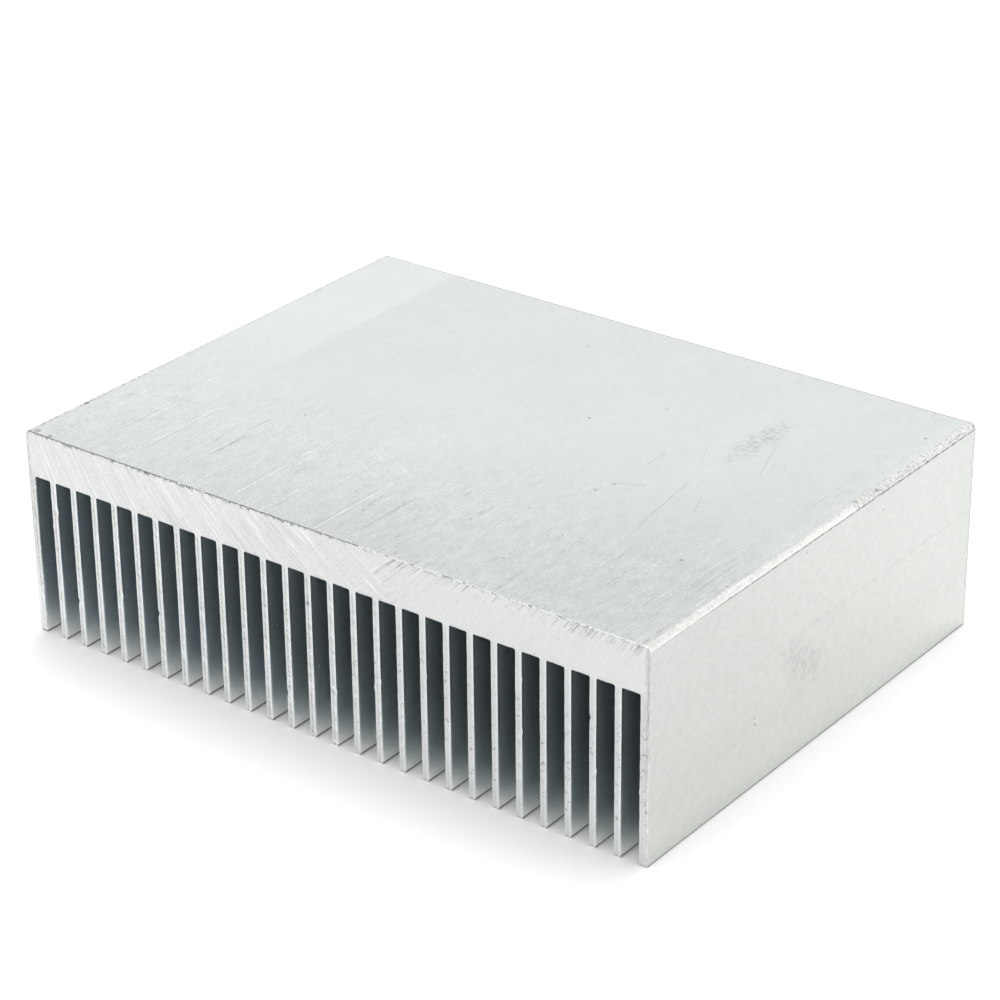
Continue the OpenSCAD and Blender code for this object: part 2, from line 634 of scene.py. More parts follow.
    def material(self) -> bpy.types.Material:
        """Builds the finish's material."""
        r = Recipe("mill_aluminium")
        on_top = r.step(r.z, self.high[2] - self.edge, self.high[2] - 0.25)
        on_side = r.rest(on_top)
        lines = self.die_lines(r)
        wander = r.sway(r.noise(0.06, shift=(5.0, 2.0, 0.0)), 22.0)
        place = r.add(r.y, wander)
        right = r.step(r.x, 40.0, 46.5, 0.0, 0.7)
        front_busy = r.larger(r.step(place, 0.0, -22.0, 0.42, 1.2), right)
        front_lined = r.larger(r.step(place, -6.0, -22.0, 0.16, 1.05), right)
        busy = r.add(r.times(on_top, front_busy), r.times(on_side, 0.45))
        lined = r.add(r.times(on_top, front_lined), r.times(on_side, 0.12))
        clouds = r.noise((0.09, 0.07, 0.09), 2.0, shift=(2.0, 5.0, 9.0))
        mottle = r.noise((1.1, 0.3, 1.1), 3.0, 0.6, (9.0, 2.0, 4.0))
        blotches = r.noise((0.9, 0.6, 1.15), 3.0, 0.65, (6.0, 4.0, 1.0))
        grain = r.noise((3.2, 2.2, 3.2), 2.0, 0.7)
        marks = r.add(0.0, *(mark.mask(r) for mark in self.patches + self.pits))
        strokes = r.add(0.0, *(scratch.mask(r) for scratch in self.single_scratches))
        strokes = r.times(strokes, r.step(grain, 0.30, 0.52))
        tone = r.add(
            1.0,
            r.times(on_top, self.top_tone(r)),
            r.times(on_side, self.side_tone(r)),
            self.long_edges(r),
            r.times(lines, lined),
            self.scratches(r),
            self.specks(r),
            r.sway(clouds, 0.06),
            r.sway(mottle, r.times(on_top, busy, 0.26)),
            r.sway(blotches, r.add(0.09, r.times(on_side, 0.12))),
            r.sway(grain, r.times(busy, 0.36)),
            r.times(marks, -1.0),
            r.times(strokes, -1.0),
        )
        roughness = r.add(self.roughness, r.sway(mottle, 0.10), r.sway(grain, 0.10))
        height = r.add(r.times(lines, lined, 3.0), r.times(grain, busy, 0.7), r.times(marks, -1.5))
        # The outer sides and long edges take side_colour, a slightly darker copy of the flat face's colour as
        # painted shade.
        flat = r.step(r.less(self.high[0], r.size(r.x)), 0.6, 1.6)
        colour = r.mix(self.side_colour, self.colour, r.times(on_top, flat))
        # The painted reflection gets a faint blue tint.
        colour = r.tinted(colour, self.reflection_tint, r.times(on_top, self.strip(r)))
        return r.metal(r.shade(colour, tone), roughness, height, self.relief)


@dataclass(frozen=True)
class SawnFinish:
    """The sawn ends: arcs of the blade's teeth, which passed over the cut from both sides.

    Attributes:
        top: Height of the flat face.
        root: Height of the channels' roots.
        first_fin: The middle of the first fin between two channels.
        pitch: From one fin to the next.
        fin: Thickness of a fin.
        colour: Colour between the marks.
        roughness: Roughness of the cut.
        left_radius: Radius of the arcs on the left.
        left_centre: Where the middle of those arcs lies, across the fins.
        right_radius: Radius of the arcs on the right.
        right_centre: Where the middle of those arcs lies.
        meeting_place: Where the two sets of arcs meet, across the fins.
        mark_spacing: About how far apart the marks are.
        side: Where the outer sides are.
        relief: Depth of the bump.
    """

    top: float
    root: float
    first_fin: float
    pitch: float
    fin: float
    colour: Triple = (0.672, 0.679, 0.679)
    roughness: float = 0.5
    left_radius: float = 137.0
    left_centre: float = 77.0
    right_radius: float = 220.0
    right_centre: float = -135.0
    meeting_place: float = 9.0
    mark_spacing: float = 0.52
    side: float = 50.0
    relief: float = 0.02

    def arcs(self, r: Recipe, radius: float, centre: float, spacing: float) -> Socket:
        """Blade marks as noise that is even along arcs of one radius, each above the last.

        Args:
            r: The material in the making.
            radius: Radius of the blade.
            centre: Where the middle of the blade passed, across the fins.
            spacing: About how far apart the marks are.

        Returns:
            A socket between 0 and 1.
        """
        off = r.less(r.x, centre)
        drop = r.math("SQRT", r.less(radius * radius, r.times(off, off)))
        across = r.times(r.add(r.z, drop), 1 / spacing)
        return r.noise_at(r.joined(across, r.times(r.x, 0.14), r.times(r.y, 0.5)), 4.0, 0.68)

    def marks(self, r: Recipe) -> Socket:
        """All blade marks, as a change of tone."""
        left = self.arcs(r, self.left_radius, self.left_centre, self.mark_spacing)
        right = self.arcs(r, self.right_radius, self.right_centre, self.mark_spacing * 0.7)
        border = r.add(r.x, r.sway(r.noise(0.25), 22.0))
        on_right = r.step(border, self.meeting_place - 4.0, self.meeting_place + 4.0)
        on_left = r.rest(on_right)
        ragged = r.add(r.z, r.sway(r.noise(1.3), 2.6))
        at_top = r.step(ragged, self.top - 1.9, self.top - 0.7)
        light_left = r.times(r.step(left, 0.52, 0.64), on_left, 0.23)
        dark_left = r.times(r.step(left, 0.46, 0.34), on_left, -0.15)
        first_marks = r.band(border, self.meeting_place, 3.0, 4.0)
        light_right = r.times(r.step(right, 0.54, 0.66), on_right, r.add(0.045, r.times(first_marks, 0.08)))
        deep = r.larger(r.times(at_top, 0.28), r.times(first_marks, 0.12))
        dark_right = r.times(r.step(right, 0.46, 0.37), on_right, r.less(-0.035, deep))
        patchy = r.step(r.noise(0.16, 2.0, shift=(5.0, 0.0, 3.0)), 0.30, 0.58, 0.45, 1.0)
        return r.times(r.add(light_left, dark_left, light_right, dark_right), patchy)

    def fin_ends(self, r: Recipe) -> Socket:
        """The fins' ends as a change of tone: bright along both sides, speckled between, and nicked, with a
        painted contact shadow along their feet.
        """
        turns = r.times(r.less(r.x, self.first_fin), 1 / self.pitch)
        nearest = r.times(r.less(turns, r.math("ROUND", turns)), self.pitch)
        off = r.size(r.add(nearest, 0.02))
        edge = r.step(off, self.fin / 2 - 0.43, self.fin / 2 - 0.32)
        middle = r.rest(edge)
        below = r.step(r.z, self.root + 0.1, self.root - 0.7)
        speckle = r.noise((3.4, 3.4, 3.6), 3.0, 0.7, 2.0)
        rising = r.noise((2.4, 2.4, 0.75), 2.0, 0.6, 8.0, r.turned(52.0, ALONG))
        falling = r.noise((2.4, 2.4, 0.75), 2.0, 0.6, (3.0, 6.0, 8.0), r.turned(-56.0, ALONG))
        heights = r.times(r.step(r.z, 2.0, 5.0), r.step(r.z, 20.5, 17.0))
        rising_nicks = r.times(r.step(rising, 0.59, 0.70), r.step(r.x, -10.0, 20.0, 0.1, 0.9))
        falling_nicks = r.times(r.step(falling, 0.59, 0.70), r.step(r.x, -30.0, 10.0, 0.7, 0.9))
        nicks = r.times(r.larger(rising_nicks, falling_nicks), heights)
        core = r.step(r.x, -5.0, 18.0, 1.0, 0.35)
        return r.times(
            below,
            r.add(
                r.step(r.x, 0.0, 22.0, 0.01, -0.035),
                r.times(middle, core, r.add(-0.08, r.times(r.step(speckle, 0.42, 0.58), -0.34))),
                r.sway(speckle, 0.34),
                r.times(r.dots(4.2, 0.36, 0.24, 7.0), -0.42),
                r.times(nicks, r.step(r.x, -20.0, 12.0, -0.30, -0.46)),
                r.step(r.z, 14.0, 3.0, 0.0, 0.13),
                # Painted contact shadow along the feet of the fins' ends.
                r.step(r.z, 0.30, 0.12, 0.0, -0.40),
            ),
        )

    def nicks_and_painted_shade(self, r: Recipe) -> Socket:
        """Nicks under the flat face's edge, and painted shade: a grey border beside the outer sides and a
        dark line under the flat face's edge on the left, as a change of tone.
        """
        across = r.less(self.side, r.size(r.x))
        chips = r.noise((1.5, 1.5, 1.1), 3.0, 0.7, 5.0)
        reach = r.add(r.z, r.sway(chips, 1.2))
        at_edge = r.times(r.step(reach, self.top - 0.50, self.top - 0.12), r.step(r.x, 12.0, -6.0, 0.35, 1.0))
        # Painted shade: a grey border beside the outer sides, fainter near the foot.
        beside = r.step(r.add(across, r.sway(chips, 0.9)), 0.70, 0.10)
        border = r.times(beside, r.step(r.z, 2.0, 16.0, 0.3, 1.0))
        # Painted shade of the burr: a dark line just under the flat face's edge, on the left.
        line = r.times(r.step(r.z, self.top - 0.30, self.top - 0.14), r.step(r.x, 6.0, -10.0))
        nicks = r.times(at_edge, r.step(chips, 0.47, 0.60), -0.52)
        return r.add(nicks, r.times(border, -0.20), r.times(line, -0.24))

    def material(self) -> bpy.types.Material:
        """Builds the finish's material."""
        r = Recipe("sawn_aluminium")
        marks = self.marks(r)
        grain = r.noise(3.4, 3.0, 0.75)
        clouds = r.noise(0.15, 2.0)
        tone = r.add(
            1.0,
            marks,
            self.fin_ends(r),
            self.nicks_and_painted_shade(r),
            r.sway(grain, r.step(r.x, 0.0, 20.0, 0.38, 0.28)),
            r.sway(clouds, 0.05),
            r.times(r.x, -0.0004),
            r.times(r.dots(1.9, 0.16, 0.30, 3.0), -0.26),
        )
        height = r.add(r.times(marks, 5.0), r.times(grain, 0.5))
        return r.metal(r.shade(self.colour, tone), self.roughness, height, self.relief)


@dataclass(frozen=True)
class ChannelFinish:
    """The walls and roots of the air channels: dull, dark, and drawn along Y, with painted shade in their
    colour and painted floor light towards the fin tips.

    Attributes:
        root: Height of the channels' roots.
        root_colour: Colour at the roots, darker and bluer as painted shade.
        tip_colour: Colour at the fin tips, part of the painted floor light.
        painted_tip_light: How much lighter the walls are painted at the tips than at the roots, as floor
            light.
        mouth: Where the dark line at each mouth begins and is full, from the middle of the object.
        mouth_shadow: How much darker that line is.
        roughness: Roughness of the walls.
        relief: Depth of the bump.
    """

    root: float
    root_colour: Triple = (0.470, 0.529, 0.554)
    tip_colour: Triple = (0.555, 0.565, 0.550)
    painted_tip_light: float = 2.0
    mouth: tuple[float, float] = (36.9, 37.25)
    mouth_shadow: float = 0.40
    roughness: float = 0.5
    relief: float = 0.01

    def material(self) -> bpy.types.Material:
        """Builds the finish's material."""
        r = Recipe("channel_aluminium")
        lines = r.noise((3.0, 0.03, 3.0), 3.0, 0.6)
        grain = r.noise((2.2, 1.4, 2.2), 3.0, 0.7)
        near_mouth = r.step(r.size(r.y), 31.0, 34.0)
        glints = r.times(r.dots(3.4, 0.26, 0.20, 2.0), near_mouth, 1.3)
        # Painted floor light: the walls get lighter slowly from half way down, and fast near the tips
        painted_floor_light = r.add(
            r.step(r.z, self.root * 0.62, self.root * 0.30, 0.0, 0.11),
            r.step(r.z, self.root * 0.235, self.root * -0.038, 0.0, 0.89),
        )
        # Painted shadow: a dark line at each channel's mouth.
        at_mouth = r.times(r.step(r.size(r.y), *self.mouth), r.step(r.z, 6.0, 13.0))
        rim = r.rest(r.times(at_mouth, self.mouth_shadow))
        to_left = r.step(r.x, 30.0, -45.0, 0.0, 0.17)
        # Painted contact shadow at the fin tips.
        foot = r.step(r.z, 0.42, 0.16, 1.0, 0.22)
        light = r.times(painted_floor_light, self.painted_tip_light - 1.0)
        tone = r.add(1.0, to_left, light, r.sway(lines, 0.05), r.sway(grain, 0.26), glints)
        tone = r.times(tone, foot, rim)
        height = r.add(r.times(grain, 0.1), r.times(glints, 0.6))
        colour = r.mix(self.root_colour, self.tip_colour, painted_floor_light)
        return r.metal(r.shade(colour, tone), self.roughness, height, self.relief)


@dataclass(frozen=True)
class RimFinish:
    """The broken edge around a saw cut: dark dashes of painted shade on the left, and bright burrs painted as
    highlights on the right.

    Attributes:
        name: The material's name.
        colour: Colour between the dashes, lighter than the faces beside it as painted highlight.
        dark_share: How much of the edge is dark on the left, from 0 to 1.
        light_share: The same on the right.
        dash_depth: How much darker the dashes are.
        side_tone: The even tone along the outer sides.
        side: Where the outer sides are.
        change: Where, across the fins, the left's share turns into the right's.
        roughness: Roughness of the broken edge.
        relief: Depth of the bump.
    """

    name: str
    colour: Triple
    dark_share: float
    light_share: float
    dash_depth: float
    side_tone: float = 1.0
    side: float = 50.0
    change: float = 4.0
    roughness: float = 0.4
    relief: float = 0.02

    def material(self) -> bpy.types.Material:
        """Builds the finish's material."""
        r = Recipe(self.name)
        dashes = r.noise(0.9, 4.0, 0.8)
        place = r.add(r.x, r.sway(r.noise(0.2, shift=6.0), 24.0))
        share = r.step(place, self.change - 8.0, self.change + 8.0, self.dark_share, self.light_share)
        on_side = r.step(r.size(r.x), self.side - 0.5, self.side - 0.2)
        # Dark dashes of painted shade along the edge, more of them on the left.
        level = r.add(dashes, r.times(r.less(share, 0.5), 0.45))
        tone = r.step(level, 0.48, 0.54, 1.0, 1.0 - self.dash_depth)
        soft = r.add(self.side_tone, r.sway(dashes, 1.5), r.step(r.z, 19.0, 12.0, 0.0, 0.34))
        tone = r.times(tone, r.step(r.x, -10.0, 20.0, 1.07, 0.97))
        tone = r.add(r.times(tone, r.rest(on_side)), r.times(soft, on_side))
        return r.metal(r.shade(self.colour, tone), self.roughness, dashes, self.relief)


# Mesh tools


def take_up(piece: bpy.types.Object) -> None:
    """Makes a piece the active object and the only selected one."""
    bpy.ops.object.select_all(action="DESELECT")
    piece.select_set(True)
    bpy.context.view_layer.objects.active = piece


@contextmanager
def editing(piece: bpy.types.Object, mode: str = "EDGE") -> Iterator[None]:
    """Opens a piece in edit mode and closes it again.

    Args:
        piece: The object to edit.
        mode: What is selected: VERT, EDGE or FACE.
    """
    take_up(piece)
    bpy.ops.object.mode_set(mode="EDIT")
    bpy.ops.mesh.select_mode(type=mode)
    yield
    bpy.ops.object.mode_set(mode="OBJECT")


def apply_last_modifier(piece: bpy.types.Object) -> None:
    """Applies the modifier that was added last."""
    bpy.ops.object.modifier_apply(modifier=piece.modifiers[-1].name)


def rows_of(items: Any, name: str, width: int, kind: type = float) -> np.ndarray:
    """One property of every vertex, edge or face, as rows.

    Args:
        items: The vertices, edges or faces.
        name: The property's name.
        width: How many numbers it has.
        kind: The type of the numbers.

    Returns:
        An array with one row for each item.
    """
    values = np.empty(len(items) * width, dtype=kind)
    items.foreach_get(name, values)
    return values.reshape(-1, width)


def corners_of(mesh: bpy.types.Mesh) -> np.ndarray:
    """Every vertex of a mesh in millimetres, as rows of x, y and z."""
    return rows_of(mesh.vertices, "co", 3) / MM


def pick(
    mesh: bpy.types.Mesh, vertices: Chosen = False, edges: Chosen = False, faces: Chosen = False
) -> None:
    """Selects some vertices, edges or faces of a mesh in object mode, and nothing else."""
    for items, chosen in ((mesh.vertices, vertices), (mesh.edges, edges), (mesh.polygons, faces)):
        items.foreach_set("select", np.full(len(items), chosen, dtype=bool))


def pick_edges(piece: bpy.types.Object, test: Callable[[np.ndarray, np.ndarray], np.ndarray]) -> int:
    """Selects edges by their two ends.

    Args:
        piece: The object, in object mode.
        test: Takes the first and the second ends, as rows in millimetres, and gives what is chosen.

    Returns:
        How many edges are selected.
    """
    corners = corners_of(piece.data)
    pairs = rows_of(piece.data.edges, "vertices", 2, int)
    chosen = test(corners[pairs[:, 0]], corners[pairs[:, 1]])
    touched = np.zeros(len(corners), dtype=bool)
    touched[pairs[chosen].ravel()] = True
    pick(piece.data, vertices=touched, edges=chosen)
    return int(chosen.sum())


def pick_vertices(piece: bpy.types.Object, test: Callable[[np.ndarray], np.ndarray]) -> None:
    """Selects vertices by their place.

    Args:
        piece: The object, in object mode.
        test: Takes the places, as rows in millimetres, and gives what is chosen.
    """
    pick(piece.data, vertices=test(corners_of(piece.data)))


def slice_piece(piece: bpy.types.Object, places: Sequence[float], normal: Triple) -> None:
    """Cuts a piece's faces in two along a row of planes.

    Args:
        piece: The object to cut.
        places: How far each plane lies from the origin.
        normal: The planes' normal.
    """
    with editing(piece):
        for place in places:
            bpy.ops.mesh.select_all(action="SELECT")
            bpy.ops.mesh.bisect(plane_co=Vector(normal) * place * MM, plane_no=normal)


def evenly(start: float, end: float, step: float) -> list[float]:
    """Places between two ends, at about the given step, without the ends."""
    count = max(1, round(abs(end - start) / step))
    return [start + (end - start) * i / count for i in range(1, count)]


# The extrusion


@dataclass(frozen=True)
class Knock:
    """A dent where something hit a long edge.

    Attributes:
        place: The middle of the dent, as x, y and z.
        push: How far the metal went, as x, y and z.
        reach: How far around the dent the metal moved.
    """

    place: Triple
    push: Triple
    reach: float


KNOCKS = (
    Knock((50.0, 37.4, 30.0), (-0.06, -0.06, -0.06), 0.6),
    Knock((50.0, -37.4, 17.2), (-0.14, 0.12, 0.0), 0.6),
    Knock((50.0, -37.4, 26.2), (-0.10, 0.06, 0.0), 0.6),
    Knock((50.0, 13.0, 29.8), (-0.22, 0.0, -0.12), 0.9),
    Knock((50.0, 27.5, 29.8), (-0.12, 0.0, -0.10), 0.8),
    Knock((50.0, -21.0, 29.8), (-0.10, 0.0, -0.08), 0.8),
    Knock((-50.0, -28.6, 29.9), (0.10, 0.0, -0.06), 0.7),
    Knock((-50.0, 21.0, 29.9), (0.10, 0.0, -0.06), 0.8),
)


def mouth_burrs(
    sides: Sequence[tuple[float, float]], front: float, count: int = 26, seed: int = 5
) -> list[Knock]:
    """Chooses where small burrs and nicks sit on the edges of the fins' front ends.

    Args:
        sides: The left and right side of each air channel.
        front: The front sawn end.
        count: How many there are.
        seed: Start of the random choice.

    Returns:
        The burrs, which reach into a channel, and the nicks, which are pressed into a fin.
    """
    chooser = random.Random(seed)
    knocks = []
    for index in range(count):
        left, right = chooser.choice(sides)
        on_left = chooser.random() < 0.6
        height = chooser.uniform(5.0, 20.0)
        inwards = 1.0 if on_left else -1.0
        if index % 3 == 0:
            push = (-0.10 * inwards, 0.10, -0.05)
        else:
            push = (0.08 * inwards, chooser.uniform(-0.06, 0.08), 0.16)
        place = (left if on_left else right, front, height)
        knocks.append(Knock(place, push, 0.42))
    return knocks


@dataclass
class Extrusion:
    """The heat sink's one piece: a base plate with a comb of fins below it.

    Attributes:
        low: The lowest corner of the piece, in metres.
        high: The highest corner of the piece, in metres.
        base_thickness: Thickness of the base plate.
        edge_radius: Radius of the two long edges beside the flat face.
        side_fin: Thickness of the outermost fin on each side.
        fin: Thickness of the other fins.
        channel: Clear width of an air channel.
        channel_count: Number of air channels.
        tip_radius: Radius on the corners of each fin's tip.
        root_radius: Radius in the corners of each channel's root.
        rim: Width of the broken edge around both sawn ends.
        guard: How far in from the ends the cuts lie that keep the burrs at the ends.
        burr_height: Height of the roughest burrs.
        burr_size: Size of one burr.
        burr_level: The height of the noise that leaves the metal where it is.
        mouth_burr: Share of the burr height around the channels' mouths.
        face_burr: Share of it along the front of the flat face.
        plain_burr: Share of it everywhere else.
        side_margin: How far inside the outermost walls the mouths' burrs stop.
        root_margin: How far above the roots they reach.
        face_band: How far down from the flat face that face's burrs reach.
        grid: Size of the mesh's squares where it can be dented.
        edge_band: How far down the sides that mesh goes.
        rim_facing: How much a face looks along the extrusion where it is rim, from 0 to 1.
        mouth_facing: The same for the rim of a channel's mouth.
        end_facing: The same for the sawn end itself.
        smooth_degrees: The angle up to which an edge is shaded smooth.
    """

    low: Vector
    high: Vector
    base_thickness: float = 6.6
    edge_radius: float = 0.7
    side_fin: float = 1.225
    fin: float = 1.0
    channel: float = 2.65
    channel_count: int = 27
    tip_radius: float = 0.15
    root_radius: float = 0.18
    rim: float = 0.10
    guard: float = 0.5
    burr_height: float = 0.22
    burr_size: float = 0.6
    burr_level: float = 0.55
    mouth_burr: float = 0.22
    face_burr: float = 0.8
    plain_burr: float = 0.14
    side_margin: float = 0.3
    root_margin: float = 0.4
    face_band: float = 1.0
    grid: float = 0.55
    edge_band: float = 1.6
    rim_facing: float = 0.12
    mouth_facing: float = 0.6
    end_facing: float = 0.985
    smooth_degrees: float = 40.0

    @property
    def left(self) -> float:
        """The left side."""
        return self.low.x / MM

    @property
    def front(self) -> float:
        """The front sawn end."""
        return self.low.y / MM

    @property
    def length(self) -> float:
        """The length along the extrusion."""
        return (self.high.y - self.low.y) / MM

    @property
    def top(self) -> float:
        """The flat face of the base plate."""
        return self.high.z / MM

    @property
    def root(self) -> float:
        """The height of the channels' roots."""
        return self.top - self.base_thickness

    @property
    def pitch(self) -> float:
        """From one fin to the next."""
        return self.channel + self.fin

    @property
    def first_fin(self) -> float:
        """The middle of the first fin between two channels."""
        return self.left + self.side_fin + self.channel + self.fin / 2

    def channel_sides(self) -> list[tuple[float, float]]:
        """The left and right side of each air channel."""
        starts = [self.left + self.side_fin + i * self.pitch for i in range(self.channel_count)]
        return [(start, start + self.channel) for start in starts]

    def base_sheet(self) -> bpy.types.Object:
        """Adds the base plate's section as a flat sheet at the front end, with its two round corners."""
        bpy.ops.object.select_all(action="DESELECT")
        width = (self.high.x - self.low.x) / MM
        centre = (0.0, self.front * MM, (self.top + self.root) / 2 * MM)
        bpy.ops.mesh.primitive_plane_add(size=1, location=centre, rotation=(math.pi / 2, 0, 0))
        sheet = bpy.context.object
        sheet.name = "extruded_body"
        sheet.scale = (width * MM, self.base_thickness * MM, 1)
        bpy.ops.object.transform_apply(location=True, rotation=True, scale=True)
        pick_vertices(sheet, lambda at: at[:, 2] > self.top - NEAR)
        with editing(sheet, "VERT"):
            bpy.ops.mesh.bevel(offset=self.edge_radius * MM, segments=6, affect="VERTICES")
        return sheet

    def grow_fins(self, sheet: bpy.types.Object) -> None:
        """Divides the sheet at every fin and draws the fins down out of its lower edge."""
        sides = self.channel_sides()
        walls = [side for pair in sides for side in pair]
        slice_piece(sheet, walls, ACROSS)
        spans = np.array(sides)

        def under_a_fin(first: np.ndarray, second: np.ndarray) -> np.ndarray:
            """Chooses the lower edge's stretches that lie beside the channels."""
            middle = (first[:, 0] + second[:, 0]) / 2
            low = np.maximum(first[:, 2], second[:, 2]) < self.root + NEAR
            in_channel = ((middle[:, None] > spans[:, 0]) & (middle[:, None] < spans[:, 1])).any(axis=1)
            return low & ~in_channel

        count = pick_edges(sheet, under_a_fin)
        log.info("fins drawn down: %d", count)
        with editing(sheet):
            bpy.ops.mesh.extrude_region_move(TRANSFORM_OT_translate={"value": (0, 0, -self.root * MM)})
        pick_vertices(sheet, lambda at: at[:, 2] < NEAR)
        with editing(sheet, "VERT"):
            bpy.ops.mesh.bevel(offset=self.tip_radius * MM, segments=2, affect="VERTICES")

    def refine(self, sheet: bpy.types.Object) -> None:
        """Adds the grid that the worn and broken edges need."""
        across = []
        for left, right in self.channel_sides():
            across += evenly(left, right, self.grid)
        slice_piece(sheet, across, ACROSS)
        rows = evenly(self.root, self.top - self.edge_radius, self.grid)
        rows += evenly(self.tip_radius, self.root, self.grid) + [self.root]
        slice_piece(sheet, rows, UP)

    def draw_length(self, sheet: bpy.types.Object) -> None:
        """Draws the section out along Y and closes it, with its faces outwards."""
        with editing(sheet, "FACE"):
            bpy.ops.mesh.select_all(action="SELECT")
            bpy.ops.mesh.extrude_region_move(TRANSFORM_OT_translate={"value": (0, self.length * MM, 0)})
            bpy.ops.mesh.select_all(action="SELECT")
            bpy.ops.mesh.normals_make_consistent(inside=False)

    def round_roots(self, body: bpy.types.Object) -> None:
        """Rounds the corners at the root of each channel."""
        walls = np.array([side for pair in self.channel_sides() for side in pair])

        def at_a_root(first: np.ndarray, second: np.ndarray) -> np.ndarray:
            """Chooses the long edges where a wall meets the root."""
            along = np.abs(first[:, 1] - second[:, 1]) > self.length / 2
            high = np.abs(first[:, 2] - self.root) < NEAR
            wall = (np.abs(first[:, :1] - walls) < NEAR).any(axis=1)
            return along & high & wall

        count = pick_edges(body, at_a_root)
        log.info("root corners rounded: %d", count)
        with editing(body):
            bpy.ops.mesh.bevel(offset=self.root_radius * MM, segments=3, affect="EDGES")

    def divide_long_edges(self, body: bpy.types.Object) -> None:
        """Divides the two rounded long edges along Y, so that knocks can dent them."""
        reach = abs(self.left) - self.side_fin - BESIDE

        def beside_the_edge(first: np.ndarray, second: np.ndarray) -> np.ndarray:
            """Chooses the long edges in and beside the rounding."""
            along = np.abs(first[:, 1] - second[:, 1]) > self.length / 2
            outer = np.abs(first[:, 0]) > reach
            return along & outer & (first[:, 2] > self.top - self.edge_band)

        pick_edges(body, beside_the_edge)
        with editing(body):
            cuts = round(self.length / self.grid)
            bpy.ops.mesh.subdivide(number_cuts=cuts, ngon=True, smoothness=0)

    def break_rims(self, body: bpy.types.Object) -> None:
        """Breaks the sharp edge all around both sawn ends."""
        facing = np.abs(rows_of(body.data.polygons, "normal", 3)[:, 1])
        pick(body.data, faces=facing > 0.99)
        with editing(body, "FACE"):
            bpy.ops.mesh.region_to_loop()
            bpy.ops.mesh.select_mode(type="EDGE")
            bpy.ops.mesh.bevel(offset=self.rim * MM, segments=2, affect="EDGES", clamp_overlap=True)

    def guard_ends(self, body: bpy.types.Object) -> None:
        """Cuts all long faces a little way in from both ends, so that burrs stay at the ends."""
        back = self.front + self.length
        slice_piece(body, (self.front + self.guard, back - self.guard), ALONG)

    def burr(self, body: bpy.types.Object) -> None:
        """Roughens the broken rims a little, as the saw leaves them."""
        at = corners_of(body.data)
        ends = np.minimum(np.abs(at[:, 1] - self.front), np.abs(at[:, 1] - self.front - self.length))
        # The rim's own vertices: the ones on the end plane itself stay, so that the cut stays flat
        rim = (ends < self.rim * 1.05) & (ends > NEAR / 10)
        inner = abs(self.left) - self.side_fin - self.side_margin
        in_comb = (at[:, 2] < self.root + self.root_margin) & (np.abs(at[:, 0]) < inner)
        on_face = ~in_comb & (at[:, 2] > self.top - self.face_band) & (at[:, 1] < 0)
        plain = ~in_comb & ~on_face
        group = body.vertex_groups.new(name="rim")
        zones = ((self.mouth_burr, in_comb), (self.face_burr, on_face), (self.plain_burr, plain))
        for share, zone in zones:
            group.add(np.flatnonzero(rim & zone).tolist(), share, "REPLACE")
        texture = bpy.data.textures.new("burrs", "CLOUDS")
        texture.noise_scale = self.burr_size * MM
        texture.noise_depth = 2
        take_up(body)
        bpy.ops.object.modifier_add(type="DISPLACE")
        displace = body.modifiers[-1]
        displace.texture = texture
        displace.texture_coords = "LOCAL"
        displace.vertex_group = group.name
        displace.mid_level = self.burr_level
        displace.strength = self.burr_height * MM
        apply_last_modifier(body)
        body.vertex_groups.clear()

    def knock(self, body: bpy.types.Object, knock: Knock) -> None:
        """Dents the body at one place, deepest at the nearest vertex."""
        away = np.linalg.norm(corners_of(body.data) - np.array(knock.place), axis=1)
        pick(body.data, vertices=np.arange(len(away)) == np.argmin(away))
        with editing(body, "VERT"):
            bpy.ops.transform.translate(
                value=Vector(knock.push) * MM,
                use_proportional_edit=True,
                proportional_edit_falloff="SMOOTH",
                proportional_size=knock.reach * MM,
            )

    def skins(self, body: bpy.types.Object) -> None:
        """Gives each face its skin, by its normal and its place."""
        faces = body.data.polygons
        facing = np.abs(rows_of(faces, "normal", 3)[:, 1])
        centre = rows_of(faces, "center", 3) / MM
        inner = abs(self.left) - self.side_fin + BESIDE
        in_comb = (centre[:, 2] < self.root + BESIDE) & (np.abs(centre[:, 0]) < inner)
        tips = centre[:, 2] < self.tip_radius
        skin = np.full(len(faces), Skin.MILL.value)
        skin[in_comb | tips] = Skin.CHANNEL.value
        from_middle = np.abs(centre[:, 1] - self.front - self.length / 2)
        near_end = np.abs(from_middle - self.length / 2) < self.rim
        rim = (facing > self.rim_facing) | near_end
        skin[rim] = Skin.OUTER_RIM.value
        skin[rim & in_comb] = Skin.MOUTH_RIM.value
        skin[rim & in_comb & (facing < self.mouth_facing)] = Skin.CHANNEL.value
        skin[facing > self.end_facing] = Skin.SAWN.value
        faces.foreach_set("material_index", skin)

    def build(self, finishes: dict[Skin, bpy.types.Material]) -> bpy.types.Object:
        """Models the whole piece and dresses it.

        Args:
            finishes: The material of each skin.

        Returns:
            The finished object.
        """
        body = self.base_sheet()
        self.grow_fins(body)
        self.refine(body)
        self.draw_length(body)
        self.round_roots(body)
        self.guard_ends(body)
        self.divide_long_edges(body)
        self.break_rims(body)
        for skin in Skin:
            body.data.materials.append(finishes[skin])
        self.skins(body)
        self.burr(body)
        for knock in (*KNOCKS, *mouth_burrs(self.channel_sides(), self.front)):
            self.knock(body, knock)
        take_up(body)
        bpy.ops.object.shade_smooth_by_angle(angle=math.radians(self.smooth_degrees))
        bpy.ops.object.modifier_add(type="WEIGHTED_NORMAL")
        body.modifiers[-1].keep_sharp = True
        apply_last_modifier(body)
        log.info("%s: %d faces", body.name, len(body.data.polygons))
        return body


# The studio


